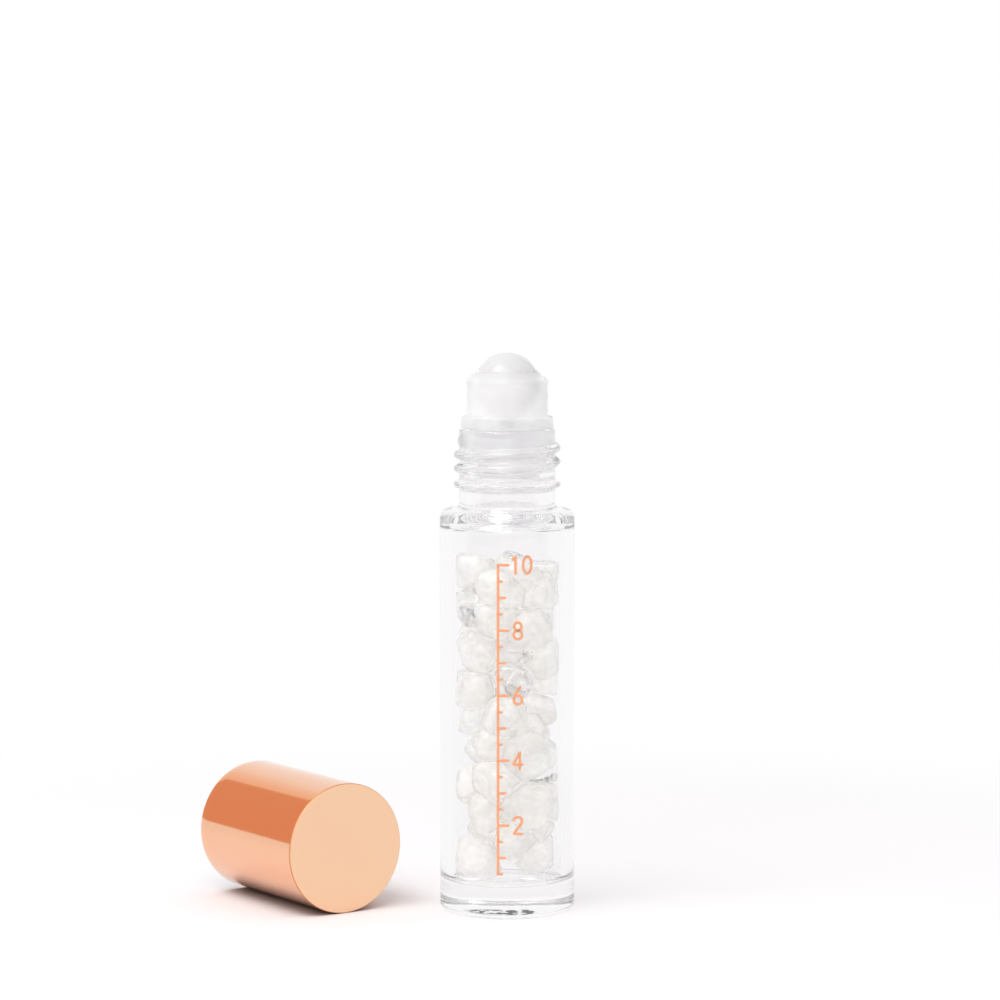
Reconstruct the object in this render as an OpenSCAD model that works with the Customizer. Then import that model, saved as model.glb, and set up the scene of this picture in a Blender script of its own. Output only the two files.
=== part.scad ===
// Roll-on bottle with its cap off: a glass bottle full of quartz chips, a plastic
// ball holder with its ball in the neck, and a metal cap lying beside the foot.
// Millimetres. The origin is the centre of the foot, +Z is up, and -Y is the front.

/* [Glass body] */
// Outer diameter of the glass body
body_d = 20; // [18:0.5:24]
// Height of the straight side, from the foot to where the shoulder starts
body_h = 58.2; // [45:0.1:80]
// Thickness of the side wall
body_wall = 1.85; // [1.4:0.05:2.2]
// Thickness of the heavy glass base
base_t = 4.5; // [3:0.1:7]
// Radius of the outer edge round the foot
heel_r = 1; // [0.5:0.1:1.6]
// Radius of the corner between the side and the floor inside
floor_corner_r = 1.3; // [0.6:0.1:2]
// Width of the flat ring that the bottle stands on
foot_ring_w = 1.6; // [0.8:0.1:3]
// Rise of the hollow under the base
push_up = 0.6; // [0.3:0.05:1]

/* [Glass shoulder and neck] */
// Radius of the outer corner of the shoulder
shoulder_r = 1.7; // [1.2:0.1:2.2]
// Slope of the shoulder from that corner up to the neck, in degrees
shoulder_slope = 10; // [5:1:20]
// Thickness of the glass in the shoulder
shoulder_wall = 1.7; // [1.3:0.1:2.2]
// Radius of the corner inside the shoulder
shoulder_inner_r = 1.6; // [1:0.1:2]
// Diameter of the neck between its threads
neck_d = 14.2; // [13.4:0.1:15]
// Height of the neck above the shoulder
neck_h = 11.5; // [10.5:0.1:14]
// Bore of the neck
neck_bore_d = 10; // [9.4:0.1:10.6]
// Radius of the hollow corner where the neck meets the shoulder
neck_fillet_r = 0.45; // [0.2:0.05:0.8]
// Radius of the rounded top edges of the neck
lip_r = 0.4; // [0.2:0.05:0.6]

/* [Neck thread and bead] */
// How far the thread and the bead stand out from the neck
thread_h = 0.8; // [0.5:0.05:0.95]
// Width of the thread and of the bead where they leave the neck
thread_w = 1.45; // [1:0.05:1.7]
// Rise of the thread in one turn
thread_pitch = 2.04; // [1.9:0.02:2.4]
// Height of the bead's crest above the foot of the neck
bead_rise = 3.3; // [2:0.1:3.6]
// Height of the lower end of the thread above the bead's crest
thread_rise = 1.95; // [1.8:0.05:2.2]
// Turns of thread on the neck
thread_turns = 2.24; // [1.5:0.02:2.4]
// Direction in which the thread ends at its lower end, in degrees from +X
thread_low_angle = 120; // [0:5:355]
// Part of a turn over which the thread fades out at each end, in degrees
thread_fade = 30; // [15:5:60]

/* [Ball and its holder] */
// Diameter of the ball
ball_d = 9.5; // [9:0.1:9.9]
// Height of the top of the ball above the top of the neck
ball_top_rise = 11.2; // [11:0.1:12.4]
// Running clearance between the ball and its socket, on the radius
ball_gap = 0.06; // [0.02:0.01:0.1]
// Diameter of the cup round the ball
cup_d = 11.94; // [11.7:0.02:12.4]
// Distance from the middle of the ball up to the lip that holds it in
cup_lip_rise = 2.04; // [1.6:0.02:2.4]
// Distance from the lip down to where the cup's straight side ends
cup_slope_h = 1.65; // [1.2:0.05:2]
// Width of the lip round the ball
cup_lip_w = 0.1; // [0.06:0.01:0.2]
// Diameter of the flange at the top of the neck, at its lower edge
flange_d = 13.7; // [13:0.1:14]
// Height of the flange
flange_h = 1.75; // [1.2:0.05:2.2]
// How much narrower the flange is at its upper edge, on the radius
flange_draft = 0.14; // [0.05:0.01:0.3]
// Clearance between the flange and the top of the neck
flange_gap = 0.05; // [0.02:0.01:0.1]
// Length of the plug in the neck
plug_h = 9; // [8:0.1:10]
// Diameter of the plug between its sealing ribs
plug_d = 9.1; // [8.7:0.1:9.2]
// Clearance between the sealing ribs and the bore, on the radius
plug_gap = 0.03; // [0.01:0.01:0.08]
// Number of sealing ribs round the plug
plug_rib_count = 3; // [2:1:3]
// Rounding radius of a sealing rib
plug_rib_r = 0.6; // [0.5:0.05:0.7]
// Height of the tight band of the plug under the flange
plug_band_h = 1.6; // [1.2:0.1:2]
// Height of the sloped lead at the bottom of the plug
plug_lead_h = 0.8; // [0.5:0.1:1]
// Bore of the open lower part of the plug
plug_bore_d = 7.2; // [6.4:0.1:7.4]
// Depth of the open lower part of the plug
plug_bore_h = 4.8; // [4.4:0.1:5.2]
// Bore of the narrower well above it
well_d = 4.8; // [4.2:0.1:5.4]
// Depth of that well
well_h = 2.9; // [2:0.1:3.4]
// Diameter of the hole that feeds the ball
feed_d = 2.2; // [1.6:0.1:3]

/* [Cap] */
// Length of the cap
cap_h = 25.9; // [25.2:0.1:28]
// Thickness of the metal shell
shell_wall = 0.4; // [0.3:0.05:0.5]
// Radius of the shell's edge at the closed end
shell_edge_r = 0.3; // [0.1:0.05:0.6]
// Clearance between the shell and its liner, which holds the glue
glue_gap = 0.05; // [0.02:0.01:0.1]
// How far the liner stands back from the mouth of the shell
liner_inset = 0.5; // [0.2:0.1:1]
// Thickness of the liner's threaded skirt
liner_skirt_t = 1.15; // [1:0.05:1.9]
// Thickness of the liner's closed end
liner_top_t = 1.1; // [0.8:0.1:1.4]
// Thickness of the liner's narrow upper tube
liner_tube_wall = 1; // [0.8:0.1:1.3]
// Room between the liner and what it goes over, on the radius
liner_room = 0.2; // [0.1:0.05:0.4]
// Height of the web that joins the two bores of the liner
liner_web_h = 1; // [0.8:0.1:1.4]
// Number of ribs that hold the narrow tube straight in the shell
liner_rib_count = 12; // [6:1:16]
// Thickness of such a rib
liner_rib_t = 0.8; // [0.6:0.1:1]
// Middle diameter of the ring that presses on the ball
press_ring_d = 6; // [5:0.2:7]
// Thickness of that ring
press_ring_t = 0.8; // [0.6:0.1:1]
// Turns of thread in the liner
liner_turns = 1.75; // [1:0.05:1.8]
// Distance from the closed cap's mouth up from the foot of the neck
cap_seat = 0.3; // [0.2:0.05:0.6]
// Place of the closed end's centre across the front, from the bottle's axis
cap_x = -23.8; // [-40:0.1:-22]
// Place of the closed end's centre in depth, from the bottle's axis
cap_y = -4.5; // [-10:0.1:10]
// Turn of the lying cap away from the line of sight, in degrees
cap_turn = 34.4; // [20:0.2:60]

/* [Quartz chips] */
// Number of chips in the bottle
chip_count = 50; // [40:1:54]
// Diameter of a middling chip, as a share of the width of the space inside
chip_share = 0.4125; // [0.38:0.0025:0.46]
// Clearance between neighbouring chips
chip_gap = 0.16; // [0.1:0.02:0.3]
// Clearance between the chips and the glass
chip_wall_gap = 0.15; // [0.1:0.01:0.3]
// Height left free between the top of the fill and the end of the straight side
chip_head_room = 4.8; // [3.6:0.1:12]
// Number of broken faces cut on each chip besides those towards its neighbours
chip_cuts = 13; // [10:1:16]
// First number of the chips' random draws
chip_seed = 71; // [1:1:200]

/* [Hidden] */
$fn = 96;
over = 0.5;

// Glass sizes that follow from the ones above
body_r = body_d / 2;
cavity_r = body_r - body_wall;
neck_r = neck_d / 2;
bore_r = neck_bore_d / 2;
shoulder_x = body_r - shoulder_r;
slope_x = shoulder_x + shoulder_r * sin(shoulder_slope);
slope_z = body_h + shoulder_r * cos(shoulder_slope);
neck_z = slope_z + (slope_x - neck_r) * tan(shoulder_slope);
lip_z = neck_z + neck_h;
inner_x = cavity_r - shoulder_inner_r;
inner_drop = shoulder_wall + shoulder_inner_r + (inner_x - slope_x) * sin(shoulder_slope);
inner_z = slope_z - inner_drop / cos(shoulder_slope);
inner_slope_x = inner_x + shoulder_inner_r * sin(shoulder_slope);
inner_slope_z = inner_z + shoulder_inner_r * cos(shoulder_slope);
throat_z = inner_slope_z + (inner_slope_x - bore_r) * tan(shoulder_slope);
foot_inner_r = body_r - heel_r - foot_ring_w;
push_up_flat_r = foot_inner_r / 2;

// Thread and bead
bead_z = neck_z + bead_rise;
thread_z = bead_z + thread_rise;
crest_r = neck_r + thread_h;
thread_sink = 2 * thread_h / 5;
thread_dip = thread_sink / 2;
thread_steps_per_turn = 30;
bead_crest_r = thread_w / 4;
thread_outline_shares = [[-1, -1.2], [0.55, -0.56], [0.9, -0.25], [1, 0],
    [0.9, 0.25], [0.55, 0.56], [-1, 1.2]];

// Ball holder
ball_r = ball_d / 2;
ball_z = lip_z + ball_top_rise - ball_r;
socket_r = ball_r + ball_gap;
cup_r = cup_d / 2;
cup_lip_z = ball_z + cup_lip_rise;
cup_mouth_r = sqrt(socket_r * socket_r - cup_lip_rise * cup_lip_rise);
cup_side_z = cup_lip_z - cup_slope_h;
cup_corner_r = cup_slope_h / 2;
flange_r = flange_d / 2;
flange_z = lip_z + flange_gap;
flange_top_z = flange_z + flange_h;
plug_r = plug_d / 2;
seal_r = bore_r - plug_gap;
plug_z = lip_z - plug_h;
plug_bore_top = plug_z + plug_bore_h;
well_top = plug_bore_top + well_h;
rib_low = plug_z + plug_lead_h + plug_rib_r;
rib_high = lip_z - plug_band_h - plug_rib_r;
rib_step = (rib_high - rib_low) / plug_rib_count;

// Cap, whose heights here are measured from its mouth
liner_bore_r = crest_r + liner_room;
liner_r = liner_bore_r + liner_skirt_t;
shell_in_r = liner_r + glue_gap;
shell_in_h = cap_h - shell_wall;
cap_r = shell_in_r + shell_wall;
liner_top = shell_in_h - glue_gap;
liner_in_top = liner_top - liner_top_t;
seat_z = neck_z + cap_seat;
liner_bore_h = flange_top_z - seat_z + liner_room;
liner_tube_in_r = cup_r + 2 * liner_room;
liner_tube_r = liner_tube_in_r + liner_tube_wall;
liner_web_top = liner_bore_h + liner_web_h;
press_ring_r = press_ring_d / 2;
press_reach = press_ring_r - press_ring_t / 2;
press_ring_z = ball_z + sqrt(ball_r * ball_r - press_reach * press_reach) - seat_z;
liner_thread_z = thread_z - thread_pitch / 2 - seat_z;
liner_thread_h = liner_bore_r - neck_r - liner_room;

// Chips: they are laid out in a tube of radius 1, and this layout is stretched to the
// space that they fill, so that they keep their places in it when the bottle changes
chip_low_z = base_t + chip_wall_gap;
chip_top_z = body_h - chip_head_room;
chip_outer_r = cavity_r - chip_wall_gap;
chip_layout_share = 6.1;
chip_stretch = [chip_outer_r, chip_outer_r, (chip_top_z - chip_low_z) / chip_layout_share];
chip_sides = 11;
chip_margin = 4 * chip_share / 5;
chip_tries = 24;
chip_band = 7;
chip_block = 8 * chip_share * max(chip_stretch);
golden_angle = 137.508;
cut_low_share = 0.78;
cut_high_share = 1.12;
stretch_share = 0.3;

// A random point of the layout, which lies higher the higher the chip's number is
function chip_try(i, j) =
    let (draw = rands(0, 1, 3, chip_seed + i * chip_tries + j))
    let (away = (1 - chip_share) * sqrt(draw[0]))
    let (turn = 360 * draw[1])
    let (rank = i + chip_band * (draw[2] - 0.5))
    let (share = min(1, max(0, rank / (chip_count - 1))))
    let (rise = chip_layout_share - 2 * chip_margin)
    [away * cos(turn), away * sin(turn), chip_margin + rise * share];

// Distance from a point to the nearest one already placed
function room_at(p, placed) =
    len(placed) == 0 ? chip_share : min([for (q = placed) norm(p - q)]);

// The roomiest of the tries for one chip
function chip_best(i, placed, j = 0, top = [0, 0, 0], top_room = -1) =
    j == chip_tries ? top :
    let (p = chip_try(i, j))
    let (room = room_at(p, placed))
    chip_best(i, placed, j + 1, room > top_room ? p : top, max(room, top_room));

// The middles of all chips, placed one after the other from the bottom up
function chip_middles(placed = []) =
    len(placed) == chip_count ? placed :
    chip_middles(concat(placed, [chip_best(len(placed), placed)]));

// Directions spread evenly over a ball, turned by a given angle
function even_direction(k, n, turn) =
    let (height = 1 - (2 * k + 1) / n)
    let (flat = sqrt(1 - height * height))
    let (around = turn + k * golden_angle)
    [flat * cos(around), flat * sin(around), height];

chip_places = chip_middles();

// How far the thread stands out along its turns, from 0 at its ends to 1
function thread_share(turned, whole, fade) =
    let (near = min(turned, whole - turned) / fade)
    near >= 1 ? 1 : sin(90 * max(0, near));

// One ring of the thread's outline: wall radius, height and direction, +1 for outwards
function thread_ring(angle, z, wall_r, height, width, share, way) =
    [for (s = thread_outline_shares)
        let (out = s[0] < 0 ? -thread_sink : (s[0] * height + thread_dip) * share - thread_dip)
        let (r = wall_r + way * out)
        [r * cos(angle), r * sin(angle), z + s[1] * width / 2]];

function chip_name(i) = str("quartz_chip_", i < 10 ? "0" : "", i);

// A helical ridge on a wall, right-handed, with ends that fade into the wall
module thread_ridge(wall_r, low_z, low_angle, turns, height, way) {
    whole = 360 * turns;
    steps = ceil(thread_steps_per_turn * turns);
    sides = len(thread_outline_shares);
    rings = [for (i = [0 : steps])
        let (turned = whole * i / steps)
        thread_ring(low_angle + turned, low_z + thread_pitch * turned / 360, wall_r,
            height, thread_w, thread_share(turned, whole, thread_fade), way)];
    points = [for (ring = rings) for (p = ring) p];
    skin = [for (i = [0 : steps - 1]) for (j = [0 : sides - 1])
        let (a = i * sides + j)
        let (b = i * sides + (j + 1) % sides)
        for (face = [[a, a + sides, b], [b, a + sides, b + sides]])
            way > 0 ? [face[0], face[2], face[1]] : face];
    start = [for (j = [0 : sides - 1]) way > 0 ? sides - 1 - j : j];
    end = [for (j = [0 : sides - 1]) steps * sides + (way > 0 ? j : sides - 1 - j)];
    polyhedron(points, concat(skin, [start, end]));
}

// Outline of the glass without its hollow
module bottle_outline() {
    square([body_r - heel_r, body_h]);
    translate([0, heel_r])
        square([body_r, body_h - heel_r]);
    translate([body_r - heel_r, heel_r])
        circle(heel_r);
    translate([shoulder_x, body_h])
        circle(shoulder_r);
    polygon([[0, body_h - over], [shoulder_x, body_h - over], [slope_x, slope_z],
        [neck_r - over, neck_z + over * tan(shoulder_slope)], [0, neck_z]]);
    square([neck_r, lip_z - lip_r]);
    square([neck_r - lip_r, lip_z]);
    translate([neck_r - lip_r, lip_z - lip_r])
        circle(lip_r);
    neck_fillet_outline();
    translate([crest_r - bead_crest_r, bead_z])
        circle(bead_crest_r);
    bead_base = [neck_r - over, thread_w / 2 + over / 2];
    bead_top = [crest_r - bead_crest_r + bead_crest_r * cos(45), bead_crest_r * sin(45)];
    polygon([[bead_base[0], bead_z - bead_base[1]], [neck_r, bead_z - thread_w / 2],
        [bead_top[0], bead_z - bead_top[1]], [bead_top[0], bead_z + bead_top[1]],
        [neck_r, bead_z + thread_w / 2], [bead_base[0], bead_z + bead_base[1]]]);
}

// The hollow corner where the neck rises from the shoulder
module neck_fillet_outline() {
    middle_x = neck_r + neck_fillet_r;
    middle_z = neck_z - neck_fillet_r * tan(shoulder_slope) + neck_fillet_r / cos(shoulder_slope);
    touch_x = middle_x - neck_fillet_r * sin(shoulder_slope);
    touch_z = middle_z - neck_fillet_r * cos(shoulder_slope);
    difference() {
        polygon([[neck_r - over, touch_z - over], [touch_x, touch_z - over], [touch_x, touch_z],
            [middle_x, middle_z], [neck_r - over, middle_z]]);
        translate([middle_x, middle_z])
            circle(neck_fillet_r);
    }
}

// Outline of the hollow inside the glass
module cavity_outline() {
    translate([0, base_t])
        square([cavity_r - floor_corner_r, inner_z - base_t]);
    translate([0, base_t + floor_corner_r])
        square([cavity_r, inner_z - base_t - floor_corner_r]);
    translate([cavity_r - floor_corner_r, base_t + floor_corner_r])
        circle(floor_corner_r);
    translate([inner_x, inner_z])
        circle(shoulder_inner_r);
    polygon([[0, inner_z - over], [inner_x, inner_z - over], [inner_slope_x, inner_slope_z],
        [bore_r, throat_z], [0, throat_z]]);
    translate([0, throat_z - over])
        square([bore_r, lip_z - throat_z + 2 * over]);
}

// Thick-walled glass bottle, one piece from its foot to its threaded neck
module bottle() {
    color([0.9, 0.93, 0.94, 0.4]) {
        difference() {
            union() {
                rotate_extrude()
                    bottle_outline();
                thread_ridge(neck_r, thread_z, thread_low_angle, thread_turns, thread_h, 1);
            }
            rotate_extrude()
                intersection() {
                    cavity_outline();
                    square([body_r, lip_z + over]);
                }
            rotate_extrude()
                polygon([[0, -over], [foot_inner_r, -over], [foot_inner_r, 0], [push_up_flat_r, push_up],
                    [0, push_up]]);
        }
    }
}

// Outline of the ball holder without its passages: plug, flange and cup
module housing_outline() {
    translate([0, plug_z + plug_lead_h])
        square([plug_r, lip_z - plug_z - plug_lead_h]);
    polygon([[0, plug_z], [(plug_r + plug_bore_d / 2) / 2, plug_z], [plug_r, plug_z + plug_lead_h],
        [0, plug_z + plug_lead_h]]);
    translate([0, lip_z - plug_band_h])
        square([seal_r, plug_band_h + flange_gap + flange_h / 2]);
    for (i = [0 : plug_rib_count - 1])
        translate([seal_r - plug_rib_r, rib_low + rib_step * i])
            circle(plug_rib_r);
    polygon([[0, flange_z], [flange_r, flange_z], [flange_r - flange_draft, flange_top_z],
        [0, flange_top_z]]);
    translate([0, flange_top_z - over])
        square([cup_r, cup_side_z - flange_top_z + over]);
    translate([cup_r - cup_corner_r, cup_side_z])
        circle(cup_corner_r);
    slope_turn = cup_slope_angle();
    polygon([[0, cup_side_z], [cup_r - cup_corner_r, cup_side_z],
        [cup_r - cup_corner_r + cup_corner_r * cos(slope_turn), cup_side_z + cup_corner_r * sin(slope_turn)],
        [cup_mouth_r + cup_lip_w, cup_lip_z], [0, cup_lip_z]]);
}

// Angle at which the line from the lip touches the cup's round corner
function cup_slope_angle() =
    let (dx = cup_mouth_r + cup_lip_w - cup_r + cup_corner_r)
    let (dz = cup_slope_h)
    atan2(dz, dx) - acos(cup_corner_r / norm([dx, dz]));

// Plastic ball holder, pressed into the neck: it meters what reaches the ball
module roller_housing() {
    color([0.93, 0.93, 0.94, 0.9]) {
        difference() {
            rotate_extrude()
                intersection() {
                    housing_outline();
                    translate([0, plug_z])
                        square([flange_r, cup_lip_z - plug_z]);
                }
            translate([0, 0, ball_z])
                sphere(socket_r);
            translate([0, 0, plug_z - over])
                cylinder(h = plug_bore_h + over, d = plug_bore_d);
            translate([0, 0, plug_bore_top - over])
                cylinder(h = well_h + over, d = well_d);
            translate([0, 0, well_top - over])
                cylinder(h = ball_z - well_top, d = feed_d);
        }
    }
}

// Ball that turns in the cup and carries the liquid to the skin
module roller_ball() {
    color([0.96, 0.95, 0.96, 0.95])
        translate([0, 0, ball_z])
            sphere(ball_r);
}

// Moves a piece drawn on the cap's own axis to where the cap lies
module lay_cap() {
    translate([cap_x - cap_h * sin(cap_turn), cap_y + cap_h * cos(cap_turn), cap_r])
        rotate([0, 0, cap_turn])
            rotate([90, 0, 0])
                children();
}

// Drawn metal shell of the cap, open at its mouth
module cap_shell() {
    color([0.93, 0.64, 0.5])
        lay_cap()
            difference() {
                rotate_extrude() {
                    square([cap_r, cap_h - shell_edge_r]);
                    square([cap_r - shell_edge_r, cap_h]);
                    translate([cap_r - shell_edge_r, cap_h - shell_edge_r])
                        circle(shell_edge_r);
                }
                translate([0, 0, -over])
                    cylinder(h = shell_in_h + over, r = shell_in_r);
            }
}

// Outline of the liner: threaded skirt, web, narrow tube, closed end and press ring
module liner_outline() {
    translate([liner_bore_r, liner_inset])
        square([liner_r - liner_bore_r, liner_web_top - liner_inset]);
    translate([liner_tube_in_r, liner_bore_h])
        square([liner_r - liner_tube_in_r, liner_web_h]);
    translate([liner_tube_in_r, liner_bore_h])
        square([liner_tube_wall, liner_top - liner_bore_h]);
    translate([0, liner_in_top])
        square([liner_r, liner_top_t]);
    translate([press_reach, press_ring_z])
        square([press_ring_t, liner_top - press_ring_z]);
}

// Plastic liner of the cap, glued into the shell, with the thread that grips the neck
module cap_liner() {
    color([0.95, 0.95, 0.94])
        lay_cap() {
            rotate_extrude()
                liner_outline();
            thread_ridge(liner_bore_r, liner_thread_z, 0, liner_turns, liner_thread_h, -1);
            for (i = [0 : liner_rib_count - 1])
                rotate([0, 0, 360 * i / liner_rib_count])
                    translate([liner_tube_r - liner_tube_wall / 2, -liner_rib_t / 2, liner_web_top - over])
                        cube([liner_r - liner_tube_r + liner_tube_wall / 2 - glue_gap, liner_rib_t,
                            liner_in_top - liner_web_top + 2 * over]);
        }
}

// All space on the near side of a plane, whose direction and distance are those in the
// layout, and which is drawn back by a clearance after the stretch
module near_side(direction, distance, clearance = 0) {
    lean = [for (k = [0 : 2]) direction[k] / chip_stretch[k]];
    tilt = acos(lean[2] / norm(lean));
    turn = atan2(lean[1], lean[0]);
    rotate([0, tilt, turn])
        translate([-chip_block / 2, -chip_block / 2, distance / norm(lean) - clearance - chip_block])
            cube(chip_block);
}

// One tumbled chip of milky quartz: a broken lump that fits between its neighbours
module quartz_chip(i) {
    place = chip_places[i];
    middle = [for (k = [0 : 2]) place[k] * chip_stretch[k]] + [0, 0, chip_low_z];
    shape_draws = 4;
    draw = rands(0, 1, shape_draws + chip_cuts, chip_seed * chip_count + i);
    turn = 360 * draw[1];
    long_way = even_direction(floor(draw[0] * chip_cuts), chip_cuts, turn);
    size = chip_share * (1 + stretch_share * (draw[2] - 0.5));
    grey = 0.9 + 0.06 * draw[3];
    near = [for (other = chip_places)
        if (other != place && norm(other - place) < 4 * chip_share) other - place];
    color([grey, grey, grey - 0.02])
        intersection() {
            translate([0, 0, chip_low_z])
                rotate([0, 0, turn])
                    cylinder(h = chip_top_z - chip_low_z, r = chip_outer_r, $fn = chip_sides);
            translate(middle)
                intersection_for (k = [0 : chip_cuts - 1])
                    chip_cut(even_direction(k, chip_cuts, turn), draw[shape_draws + k], long_way, size);
            translate(middle)
                intersection_for (away = near)
                    near_side(away / norm(away), norm(away) / 2, chip_gap / 2);
        }
}

// One broken face of a chip
module chip_cut(direction, draw, long_way, size) {
    depth = cut_low_share + (cut_high_share - cut_low_share) * draw;
    stretch = 1 + stretch_share * abs(direction * long_way);
    near_side(direction, size * depth * stretch);
}

bottle();
roller_housing();
roller_ball();
cap_shell();
cap_liner();
for (i = [1 : chip_count])
    quartz_chip(i - 1);
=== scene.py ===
# %% [markdown]
# Dressing a roll-on bottle
#
# A glass bottle full of quartz chips stands with its ball and holder in the neck, and its
# metal cap lies beside it. The measured frame holds every piece at its real size and place.
# This lesson gives each of them the surface and the finish of the real thing.

import bpy
import numpy as np
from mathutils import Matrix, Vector


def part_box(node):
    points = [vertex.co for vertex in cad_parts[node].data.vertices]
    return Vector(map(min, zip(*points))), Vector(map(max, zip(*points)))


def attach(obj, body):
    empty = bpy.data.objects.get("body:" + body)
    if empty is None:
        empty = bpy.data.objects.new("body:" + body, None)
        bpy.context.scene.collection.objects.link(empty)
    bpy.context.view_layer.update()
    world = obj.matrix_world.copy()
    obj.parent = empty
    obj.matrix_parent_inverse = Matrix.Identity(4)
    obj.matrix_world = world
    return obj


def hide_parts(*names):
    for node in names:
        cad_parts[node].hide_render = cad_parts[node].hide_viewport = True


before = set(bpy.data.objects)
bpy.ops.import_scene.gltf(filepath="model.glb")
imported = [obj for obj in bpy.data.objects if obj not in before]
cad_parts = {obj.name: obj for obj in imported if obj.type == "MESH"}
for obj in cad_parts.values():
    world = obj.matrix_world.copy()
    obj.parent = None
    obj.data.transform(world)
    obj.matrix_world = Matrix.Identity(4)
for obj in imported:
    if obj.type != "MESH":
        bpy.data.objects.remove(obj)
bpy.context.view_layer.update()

MM = 0.001
print("nodes in the frame:", len(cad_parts))

# %% [markdown]
# Sizes
#
# The outer sizes are read from the frame, so that a piece follows its node. The sizes that
# a box can't tell, such as the depth of a thread, are named here once, in metres. A thread's
# angles are in degrees. SKIN is how far a new surface stays inside the measured one. SAME is
# how near two lengths are when they count as one, and TINY keeps a division away from zero.

# %% Sizes read from the frame and named sizes
bottle_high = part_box("bottle")[1]
holder_low, holder_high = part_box("roller_housing")
ball_low, ball_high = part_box("roller_ball")
shell_low, shell_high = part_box("cap_shell")

BODY_R = bottle_high.x
LIP_Z = bottle_high.z
BALL_R = (ball_high.z - ball_low.z) / 2
BALL_Z = (ball_high.z + ball_low.z) / 2
PLUG_Z = holder_low.z
CUP_TOP_Z = holder_high.z
CAP_R = shell_high.z / 2
CAP_MIDDLE = (shell_low + shell_high) / 2

BODY_H = 58.2 * MM
WALL = 1.85 * MM
BASE_T = 4.5 * MM
HEEL_R = 1.0 * MM
NECK_R = 7.1 * MM
NECK_Z = 60.14 * MM
BORE_R = 5.0 * MM
BEAD_Z = 63.44 * MM
THREAD_Z = 65.39 * MM
THREAD_PITCH = 2.04 * MM
THREAD_H = 0.8 * MM
THREAD_HALF_W = 0.88 * MM
THREAD_TURNS = 2.27
THREAD_LOW_ANGLE = 120
THREAD_LOW_FADE = 30
THREAD_TOP_FADE = 110
LINER_BORE_R = 8.1 * MM
LINER_THREAD_Z = 3.93 * MM
LINER_THREAD_TURNS = 1.75
LINER_THREAD_FADE = 30
SKIN = 0.02 * MM
CAP_LENGTH = 25.9 * MM
CAP_TURN = np.radians(34.4)
SHELL_WALL = 0.4 * MM
SAME = 1e-6
TINY = 1e-9
for label, size in (("body radius", BODY_R), ("lip height", LIP_Z), ("ball radius", BALL_R)):
    print(label, round(size / MM, 2), "mm")

# %% [markdown]
# Surfaces from arrays
#
# Nearly every piece here is turned: a profile carried round an axis. A profile is an array
# of points (radius, height). Blender's Screw and Spin tools could carry it round too, but an
# array can also be bent point by point, as a thread needs. One function turns a grid of points
# into a mesh, and closes its seams and its poles, so that glass has a true inside and outside.

# %% Points and faces become objects
def into_scene(name, data):
    """A new object that carries a mesh, lamp or camera, linked to the scene."""
    made = bpy.data.objects.new(name, data)
    bpy.context.scene.collection.objects.link(made)
    return made


def new_mesh(name, points, faces, smooth=False):
    """An object whose mesh has these points and faces."""
    mesh = bpy.data.meshes.new(name)
    mesh.from_pydata(points, [], faces)
    if smooth:
        mesh.polygons.foreach_set("use_smooth", np.ones(len(faces), bool))
    mesh.update()
    return into_scene(name, mesh)


# %% Grids of points become closed meshes
def grid_mesh(name, grid, wrap_rows=False):
    """A mesh over a grid of rows by columns of points, whose columns close on themselves.

    Each quad joins point (i, j) to (i+1, j), (i+1, j+1) and (i, j+1). The rows close too if
    wrap_rows is set. Where a row has shrunk to one point, the quads there become triangles.
    """
    rows, columns = grid.shape[:2]
    index = np.arange(rows * columns).reshape(rows, columns)
    spread = np.ptp(grid, axis=1).max(axis=1)
    index = np.where(spread[:, None] < TINY, index[:, :1], index)
    below = index if wrap_rows else index[:-1]
    above = np.roll(index, -1, axis=0) if wrap_rows else index[1:]
    quads = np.stack([below, np.roll(below, -1, 1), np.roll(above, -1, 1), above], -1)
    used, compact = np.unique(quads, return_inverse=True)
    quads = compact.reshape(-1, 4)
    pole_low = quads[:, 0] == quads[:, 1]
    pole_high = quads[:, 2] == quads[:, 3]
    faces = quads[~pole_low & ~pole_high].tolist()
    faces += quads[pole_low & ~pole_high][:, [0, 2, 3]].tolist()
    faces += quads[pole_high & ~pole_low][:, [0, 1, 2]].tolist()
    return new_mesh(name, grid.reshape(-1, 3)[used], faces, smooth=True)


def turned(profile, segments):
    """The grid of a profile turned about Z: (r cos a, r sin a, z) for each point and angle."""
    angle = np.linspace(0, 2 * np.pi, segments, endpoint=False)
    r, z = profile[:, :1], profile[:, 1:]
    return np.stack([r * np.cos(angle), r * np.sin(angle), z + 0 * angle], -1)


# %% Profiles are made of arcs and lines
def arc(x, z, r, start, stop, count=9):
    """Points on a circle about (x, z), from one angle to another, in degrees."""
    a = np.radians(np.linspace(start, stop, count))
    return np.stack([x + r * np.cos(a), z + r * np.sin(a)], -1)


def line(*corners, step=None):
    """Points along straight lines through the corners, no further apart than step."""
    corners = np.array(corners, float)
    if step is None:
        return corners
    runs = []
    for a, b in zip(corners[:-1], corners[1:]):
        count = max(1, int(np.ceil(np.linalg.norm(b - a) / step)))
        runs.append(a + (b - a) * np.linspace(0, 1, count, endpoint=False)[:, None])
    return np.concatenate(runs + [corners[-1:]])


def bump(t):
    """A rounded ridge over -1 to 1 and nothing outside: (1 - |t|^2.4)^1.6."""
    return (1 - np.minimum(np.abs(t), 1) ** 2.4) ** 1.6


# %% [markdown]
# Finishes from expressions
#
# A finish is a node tree. A small class wraps a socket, so that a mask can be written as
# 1 - mask * 0.5, and each operator adds its Math node. One method adds any other node.

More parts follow.
